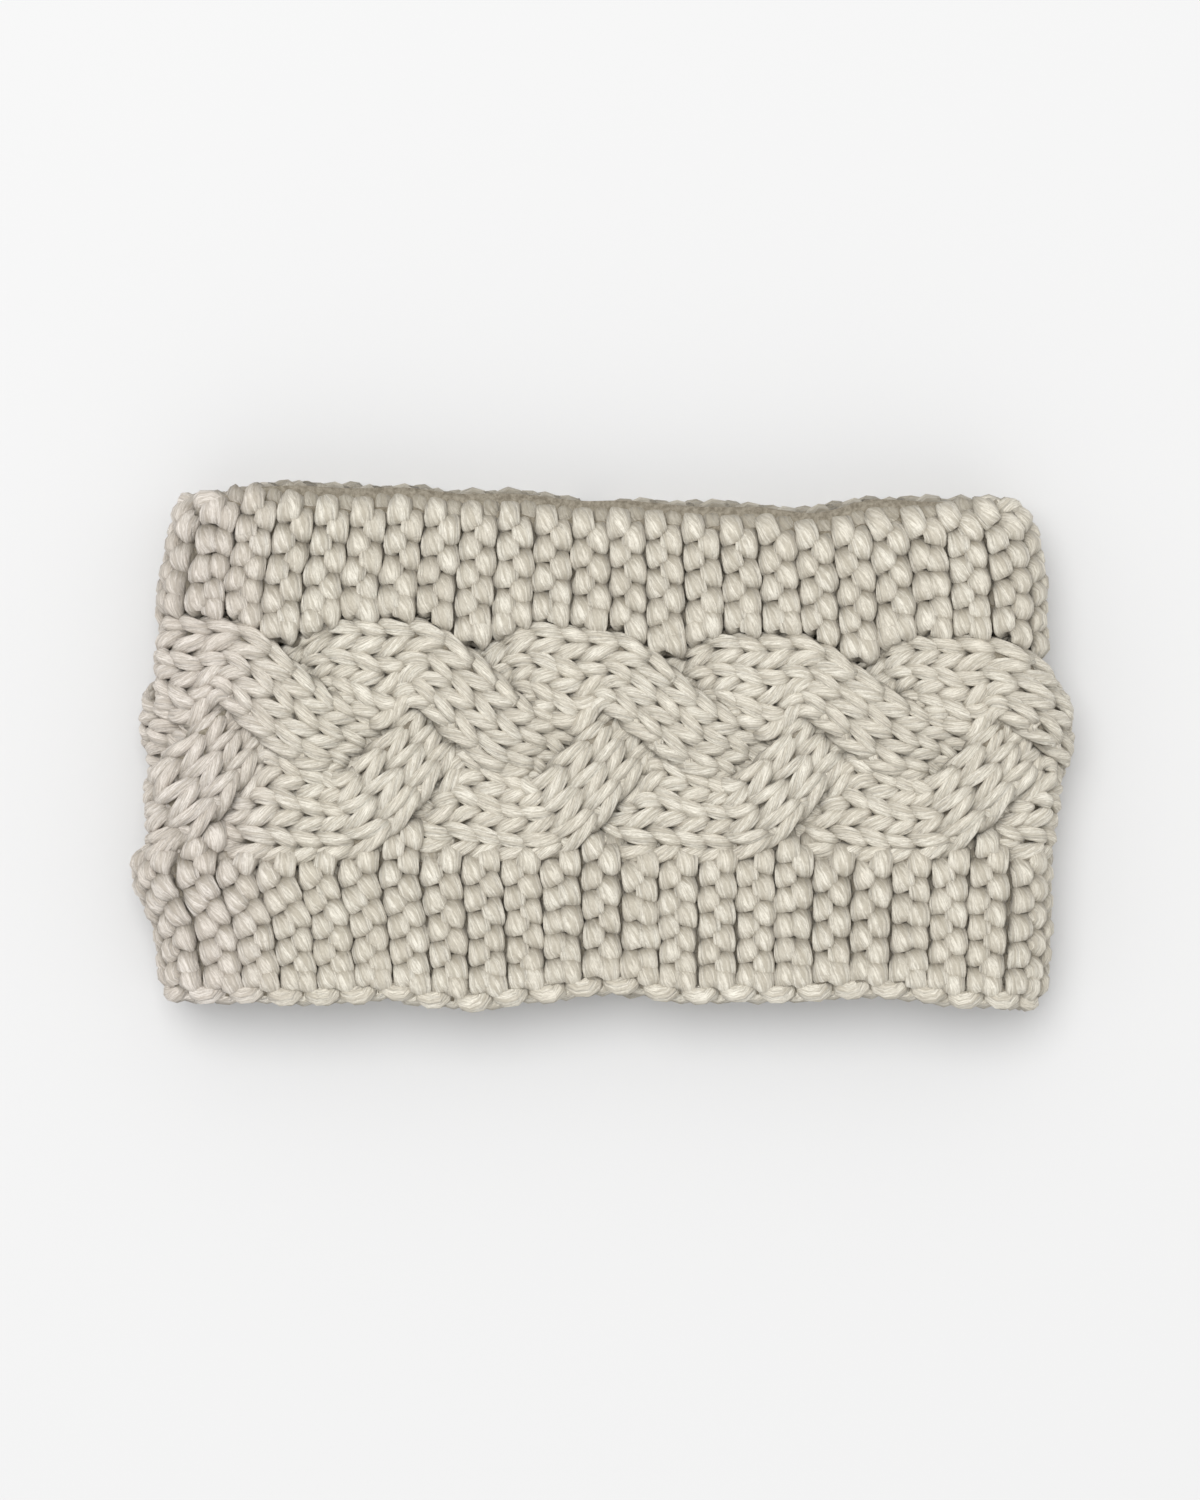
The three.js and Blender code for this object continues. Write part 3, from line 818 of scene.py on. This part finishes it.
def knit_inside(path, stitches, yarn, random, batch):
    """The purl bumps that the knit stitches make on the inside of one cable strand."""
    radius, dome = stitches.knit_radius / MM, stitches.strand_dome / MM
    stations, pitches = path.stitches(stitches.knit_pitch / MM)
    bumps = []
    for column in range(COLUMNS):
        centre = 2 * (column + 0.5) / COLUMNS - 1
        for hand in (1.0, -1.0):
            length = stations[:, None] + hand * PURL_STEP * pitches[:, None] + PURL_BUMP[None, :, 0] * hand
            beside = np.broadcast_to(PURL_SPREAD * (centre + PURL_BUMP[:, 1] * 2 / COLUMNS), length.shape)
            out = np.broadcast_to(-(STRAND_HALF - radius) + PURL_BUMP[:, 2], length.shape)
            bumps.append(path.at(length, beside, out, -dome * INSIDE_DOME))
    controls = wander(shaken(random, np.concatenate(bumps), LEG_PLACE_SPREAD), STRAND_WANDER)
    sizes = radius * random.normal(PURL_SIZE, LEG_SIZE_SPREAD, len(controls))
    batch.lay(controls, sizes, sizes * FLATTENED, ARCH_SHAPE, HIDDEN, yarn, random)


# One joining stitch, from one end of the strip to the other
# along and out: millimetres; across: share of the pitch
SEAM_STITCH = np.array([
    (-4.0, -0.45, -1.6), (-2.2, -0.25, 0.7), (0.0, 0.0, 1.3), (2.2, 0.25, 0.7), (4.0, 0.45, -1.6),
])
SEAM_SIZE = 1.15  # how thick the joining yarn is, against that of the cable
SEAM_OUT = 0.9  # how far out from the strip's middle the joining stitches lie
UPPER_SEAM_MARGIN, LOWER_SEAM_MARGIN = 2.5, 3  # between the seam's ends and the edges, in yarn radii


def sew_seam(stitches, yarn, random, batch):
    """Slanted joining stitches over the two ends of the strip, on both faces of the back layer."""
    pitch, radius = stitches.seam_pitch / MM, stitches.knit_radius / MM
    top = float(edge_height(np.array(HALF_LOOP), "upper")) - UPPER_SEAM_MARGIN * radius
    bottom = float(edge_height(np.array(HALF_LOOP), "lower")) - LOWER_SEAM_MARGIN * radius
    rows = np.arange(-bottom, top, pitch)
    for face, lean in ((1.0, 1.0), (-1.0, -1.0)):
        controls = SEAM_STITCH[None] * np.array([1.0, lean * pitch, face]) + np.stack(
            [np.zeros_like(rows), rows, np.full_like(rows, BORDER_HALF + face * SEAM_OUT)], -1
        )[:, None]
        sizes = radius * SEAM_SIZE * random.normal(1.0, LEG_SIZE_SPREAD, len(rows))
        controls = shaken(random, controls, LEG_PLACE_SPREAD)
        batch.lay(controls, sizes, sizes, ARCH_SHAPE, PLAIN, yarn, random, strip=False)


# Where along the strip, and in how many rows across it, the ground has its points
GROUND_STATIONS = np.linspace(-STRIP_END, STRIP_END, 241)
GROUND_ROWS = 6
GROUND_MARGIN = 1.6  # how far inside the stitches' edges the ground stays
GROUND_DEPTH = 0.6  # how much nearer to the inside the ground of a strand lies than its middle


def ribbon(low, high, outward, thickness):
    """One closed, thin ribbon of the ground as a grid of points, from its lower to its upper edge."""
    shares = np.linspace(0, 1, GROUND_ROWS)
    along = np.broadcast_to(GROUND_STATIONS[:, None], (len(GROUND_STATIONS), GROUND_ROWS))
    across = low[:, None] + (high - low)[:, None] * shares
    middle = np.broadcast_to(outward[:, None], across.shape)
    faces = (np.stack([along, across, middle + side * thickness / 2], -1) for side in (1, -1))
    points = np.stack([bend(wander(face))[0] for face in faces])
    points[..., 2] = np.maximum(points[..., 2], TABLE)
    return points


def ribbon_faces():
    """The four-sided faces that close one ribbon all round."""
    size = (2, len(GROUND_STATIONS), GROUND_ROWS)
    outer, inner = np.arange(math.prod(size)).reshape(size)
    sides = (
        (outer[:-1, :-1], outer[1:, :-1], outer[1:, 1:], outer[:-1, 1:]),
        (inner[:-1, :-1], inner[:-1, 1:], inner[1:, 1:], inner[1:, :-1]),
        (outer[:-1, -1], outer[1:, -1], inner[1:, -1], inner[:-1, -1]),
        (outer[:-1, 0], inner[:-1, 0], inner[1:, 0], outer[1:, 0]),
        (outer[0, :-1], outer[0, 1:], inner[0, 1:], inner[0, :-1]),
        (outer[-1, :-1], inner[-1, :-1], inner[-1, 1:], outer[-1, 1:]),
    )
    return np.concatenate([np.stack(side, -1).reshape(-1, 4) for side in sides])


def make_ground(stitches, yarn):
    """Thin ribbons round the loop, one behind each border and strand, for the yarn deep inside the fabric,
    coloured with painted shade.
    """
    along = GROUND_STATIONS
    flat = np.zeros_like(along)
    ribbons = [
        (cable_edge(along, "upper") + GROUND_MARGIN, edge_height(along, "upper") - 2 * GROUND_MARGIN, flat),
        (2 * GROUND_MARGIN - edge_height(along, "lower"), cable_edge(along, "lower") - GROUND_MARGIN, flat),
    ]
    for strand in range(STRANDS):
        low, high, lift = strand_at(strand, along)
        ribbons.append((low + 2 * GROUND_MARGIN, high - 2 * GROUND_MARGIN, lift - GROUND_DEPTH))
    points, faces, quads = [], [], ribbon_faces()
    for number, (low, high, outward) in enumerate(ribbons):
        grid = ribbon(low, high, outward, stitches.ground_thickness / MM).reshape(-1, 3)
        points.append(grid * MM)
        faces.append(quads + number * len(grid))
    mesh = bpy.data.meshes.new("knitted_ground")
    mesh.from_pydata(np.concatenate(points).tolist(), [], np.concatenate(faces).tolist())
    mesh.update()
    mesh.polygons.foreach_set("use_smooth", np.ones(len(mesh.polygons), dtype=bool))
    mesh.materials.append(ground_material(yarn))
    ground = add_object("knitted_ground", mesh)
    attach(ground, "root")
    return ground


def floor_material(colour):
    material, shader = new_material("pale studio floor")
    shader.inputs["Base Color"].default_value = (*colour, 1.0)
    shader.inputs["Roughness"].default_value = 1.0
    shader.inputs["Specular IOR Level"].default_value = 0.0
    return material


LAMP_PLACE, LAMP_SIZE = (-0.5, 0.9, 3.0), 2.4  # in metres


def make_stage(stage):
    """The floor, the soft light, and the camera straight above the band."""
    half = stage.floor_size / 2
    mesh = bpy.data.meshes.new("studio_floor")
    corners = [(-half, -half, 0), (half, -half, 0), (half, half, 0), (-half, half, 0)]
    mesh.from_pydata(corners, [], [(0, 1, 2, 3)])
    mesh.materials.append(floor_material(stage.floor_colour))
    add_object("studio_floor", mesh)

    lamp = bpy.data.lights.new("soft_overhead", "AREA")
    lamp.shape = "DISK"
    lamp.size, lamp.energy = LAMP_SIZE, stage.lamp_power
    holder = add_object("soft_overhead", lamp)
    holder.location = LAMP_PLACE
    holder.rotation_euler = (-Vector(LAMP_PLACE)).to_track_quat("-Z", "Y").to_euler()

    world = bpy.data.worlds.new("pale_studio")
    world.use_nodes = True
    background = world.node_tree.nodes["Background"]
    background.inputs["Color"].default_value = (1.0, 1.0, 1.0, 1.0)
    background.inputs["Strength"].default_value = stage.surround_light
    bpy.context.scene.world = world
    bpy.context.scene.view_settings.view_transform = "Standard"

    lens = bpy.data.cameras.new("photo_camera")
    lens.lens = 100
    lens.sensor_width = 36
    lens.clip_start = 0.05
    camera = add_object("photo_camera", lens)
    camera.location = (stage.camera_aside, stage.camera_along, stage.camera_height)
    bpy.context.scene.camera = camera


def length_property(name, description, default, precision):
    return FloatProperty(
        name=name, description=description, default=default, subtype="DISTANCE", unit="LENGTH",
        precision=precision,
    )


def colour_property(name, description, default):
    return FloatVectorProperty(
        name=name, description=description, default=default, subtype="COLOR", size=3, min=0, max=1
    )


class EarWarmerYarn(bpy.types.PropertyGroup):
    plies: IntProperty(
        name="Plies", description="How many plies the yarn is twisted from", default=4, min=2, max=6
    )
    twist: FloatProperty(
        name="Twist", description="Millimetres of yarn for one whole turn of its plies", default=30.0
    )
    ply_depth: FloatProperty(
        name="Ply depth", default=0.08, subtype="FACTOR",
        description="How deep the grooves between plies are, as a share of the yarn's radius",
    )
    fibre_depth: length_property("Fibre depth", "How far single fibres stand out on the yarn", 0.00045, 5)
    light_wool: colour_property("Light wool", "Colour of the lightest stitches", (0.93, 0.89, 0.785))
    mid_wool: colour_property("Wool", "Colour of most stitches", (0.86, 0.81, 0.70))
    # Dark streaks of the wool's own fibres, and painted shade in the grooves between plies and in the ground
    streak_and_shade_wool: colour_property(
        "Streak and shade wool", "Colour of the grooves between plies and fibres", (0.50, 0.455, 0.37)
    )
    # Painted shade: the colour that yarn deep between the stitches is darkened to
    painted_shade_wool: colour_property(
        "Painted shade wool", "Colour of the wool deep between the stitches", (0.18, 0.155, 0.115)
    )
    # Painted light: a pink cast of the light towards the left end
    pink_light_cast: colour_property(
        "Pink light cast", "What the wool's colour is multiplied by towards the left end", (0.94, 0.90, 0.98)
    )
    # How strongly the painted shade darkens the yarn there
    painted_shade_share: FloatProperty(
        name="Painted shade share", description="How strongly the deep wool's colour shows there",
        default=0.88, subtype="FACTOR",
    )


class EarWarmerStitches(bpy.types.PropertyGroup):
    garter_pitch: length_property("Garter stitch", "Width of one garter stitch across the band", 0.0063, 4)
    garter_radius: length_property(
        "Garter yarn", "Radius of the yarn in the garter stitch bumps", 0.0024, 4
    )
    selvedge_radius: length_property(
        "Edge yarn", "Radius of the yarn in the turned edge stitches", 0.0023, 4
    )
    selvedge_margin: length_property(
        "Edge stitches", "Height of the turned edge stitches across the band", 0.0030, 4
    )
    knit_pitch: length_property("Knit stitch", "Length of one knit stitch along a cable strand", 0.0056, 5)
    knit_radius: length_property("Knit yarn", "Radius of the yarn in the cable's stitches", 0.00162, 5)
    strand_dome: length_property(
        "Strand dome", "How much lower a strand's edges lie than its middle", 0.0007, 4
    )
    seam_pitch: length_property(
        "Seam stitch", "Distance between the joining stitches at the back", 0.0056, 4
    )
    ground_thickness: length_property(
        "Ground", "Thickness of the closed layer between the two faces", 0.0010, 4
    )
    seed: IntProperty(
        name="Seed", description="Which set of small irregularities the stitches have", default=7
    )


class EarWarmerStage(bpy.types.PropertyGroup):
    floor_size: length_property("Floor", "Width of the floor", 6.0, 2)
    floor_colour: colour_property("Floor colour", "Colour of the floor", (0.67, 0.67, 0.67))
    lamp_power: FloatProperty(name="Lamp", description="Power of the overhead lamp, in watts", default=64.0)
    surround_light: FloatProperty(
        name="Surround", description="Strength of the light from all round", default=0.84
    )
    camera_height: length_property("Camera height", "Height of the camera above the floor", 0.9885, 4)
    camera_aside: length_property(
        "Camera aside", "How far right of the band's middle the camera is", -0.00047, 5
    )
    camera_along: length_property(
        "Camera along", "How far above the band's middle the camera is in the picture", -0.0014, 5
    )


class EarWarmerSettings(bpy.types.PropertyGroup):
    yarn: PointerProperty(type=EarWarmerYarn, name="Yarn", description="The wool and its colours")
    stitches: PointerProperty(type=EarWarmerStitches, name="Stitches", description="Sizes of the stitches")
    stage: PointerProperty(type=EarWarmerStage, name="Stage", description="Floor, light and camera")


class EARWARMER_OT_stage(bpy.types.Operator):
    """Lay the pale floor, and set up the soft light and the camera"""

    bl_idname = "ear_warmer.stage"
    bl_label = "Set the stage"

    def execute(self, context):
        make_stage(context.scene.ear_warmer.stage)
        return {"FINISHED"}


class EARWARMER_OT_borders(bpy.types.Operator):
    """Knit the two garter stitch borders, outside and inside, with their edges"""

    bl_idname = "ear_warmer.borders"
    bl_label = "Knit the borders"

    def execute(self, context):
        chosen = context.scene.ear_warmer
        for number, (edge, offset) in enumerate((("upper", UPPER_RIB_OFFSET), ("lower", LOWER_RIB_OFFSET))):
            random = np.random.default_rng(chosen.stitches.seed * 100 + number)
            batch = YarnBatch()
            for face in (1, -1):
                knit_border(edge, offset, face, chosen.stitches, chosen.yarn, random, batch)
                knit_selvedge(edge, offset, face, chosen.stitches, chosen.yarn, random, batch)
            piece = batch.make(f"garter_stitches_{edge}", wool(chosen.yarn))
            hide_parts(f"garter_border_{edge}")
        return {"FINISHED"}


class EARWARMER_OT_cable(bpy.types.Operator):
    """Knit the three strands of the plaited cable"""

    bl_idname = "ear_warmer.cable"
    bl_label = "Knit the cable"

    def execute(self, context):
        chosen = context.scene.ear_warmer
        for strand in range(STRANDS):
            random = np.random.default_rng(chosen.stitches.seed * 100 + 10 + strand)
            batch = YarnBatch()
            path = StrandPath(strand)
            knit_legs(path, chosen.stitches, chosen.yarn, random, batch)
            knit_inside(path, chosen.stitches, chosen.yarn, random, batch)
            piece = batch.make(f"knit_stitches_{strand + 1}", wool(chosen.yarn))
            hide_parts(f"cable_strand_{strand + 1}")
        return {"FINISHED"}


class EARWARMER_OT_seam(bpy.types.Operator):
    """Sew the strip's two ends together at the centre back"""

    bl_idname = "ear_warmer.seam"
    bl_label = "Sew the back seam"

    def execute(self, context):
        chosen = context.scene.ear_warmer
        random = np.random.default_rng(chosen.stitches.seed * 100 + 20)
        batch = YarnBatch()
        sew_seam(chosen.stitches, chosen.yarn, random, batch)
        piece = batch.make("joining_stitches", wool(chosen.yarn))
        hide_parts("back_seam")
        return {"FINISHED"}


class EARWARMER_OT_ground(bpy.types.Operator):
    """Lay the closed layer of yarn between the two faces of the fabric, coloured with painted shade"""

    bl_idname = "ear_warmer.ground"
    bl_label = "Lay the ground"

    def execute(self, context):
        chosen = context.scene.ear_warmer
        ground = make_ground(chosen.stitches, chosen.yarn)
        return {"FINISHED"}


class EARWARMER_PT_panel(bpy.types.Panel):
    """Sizes and steps of the ear warmer"""

    bl_idname = "EARWARMER_PT_panel"
    bl_label = "Ear Warmer"
    bl_space_type = "VIEW_3D"
    bl_region_type = "UI"
    bl_category = "Ear Warmer"

    def draw(self, context):
        chosen = context.scene.ear_warmer
        for operator in OPERATORS:
            self.layout.operator(operator.bl_idname)
        for group in (chosen.yarn, chosen.stitches, chosen.stage):
            box = self.layout.box()
            for name in group.__annotations__:
                box.prop(group, name)


OPERATORS = (
    EARWARMER_OT_stage, EARWARMER_OT_borders, EARWARMER_OT_cable, EARWARMER_OT_seam, EARWARMER_OT_ground,
)
CLASSES = (
    EarWarmerYarn, EarWarmerStitches, EarWarmerStage, EarWarmerSettings, *OPERATORS, EARWARMER_PT_panel,
)


def register():
    for cls in CLASSES:
        bpy.utils.register_class(cls)
    bpy.types.Scene.ear_warmer = PointerProperty(type=EarWarmerSettings)


def unregister():
    del bpy.types.Scene.ear_warmer
    for cls in reversed(CLASSES):
        bpy.utils.unregister_class(cls)


def main():
    register()
    bpy.ops.ear_warmer.stage()
    bpy.ops.ear_warmer.borders()
    bpy.ops.ear_warmer.cable()
    bpy.ops.ear_warmer.seam()
    bpy.ops.ear_warmer.ground()


if __name__ == "__main__":
    main()
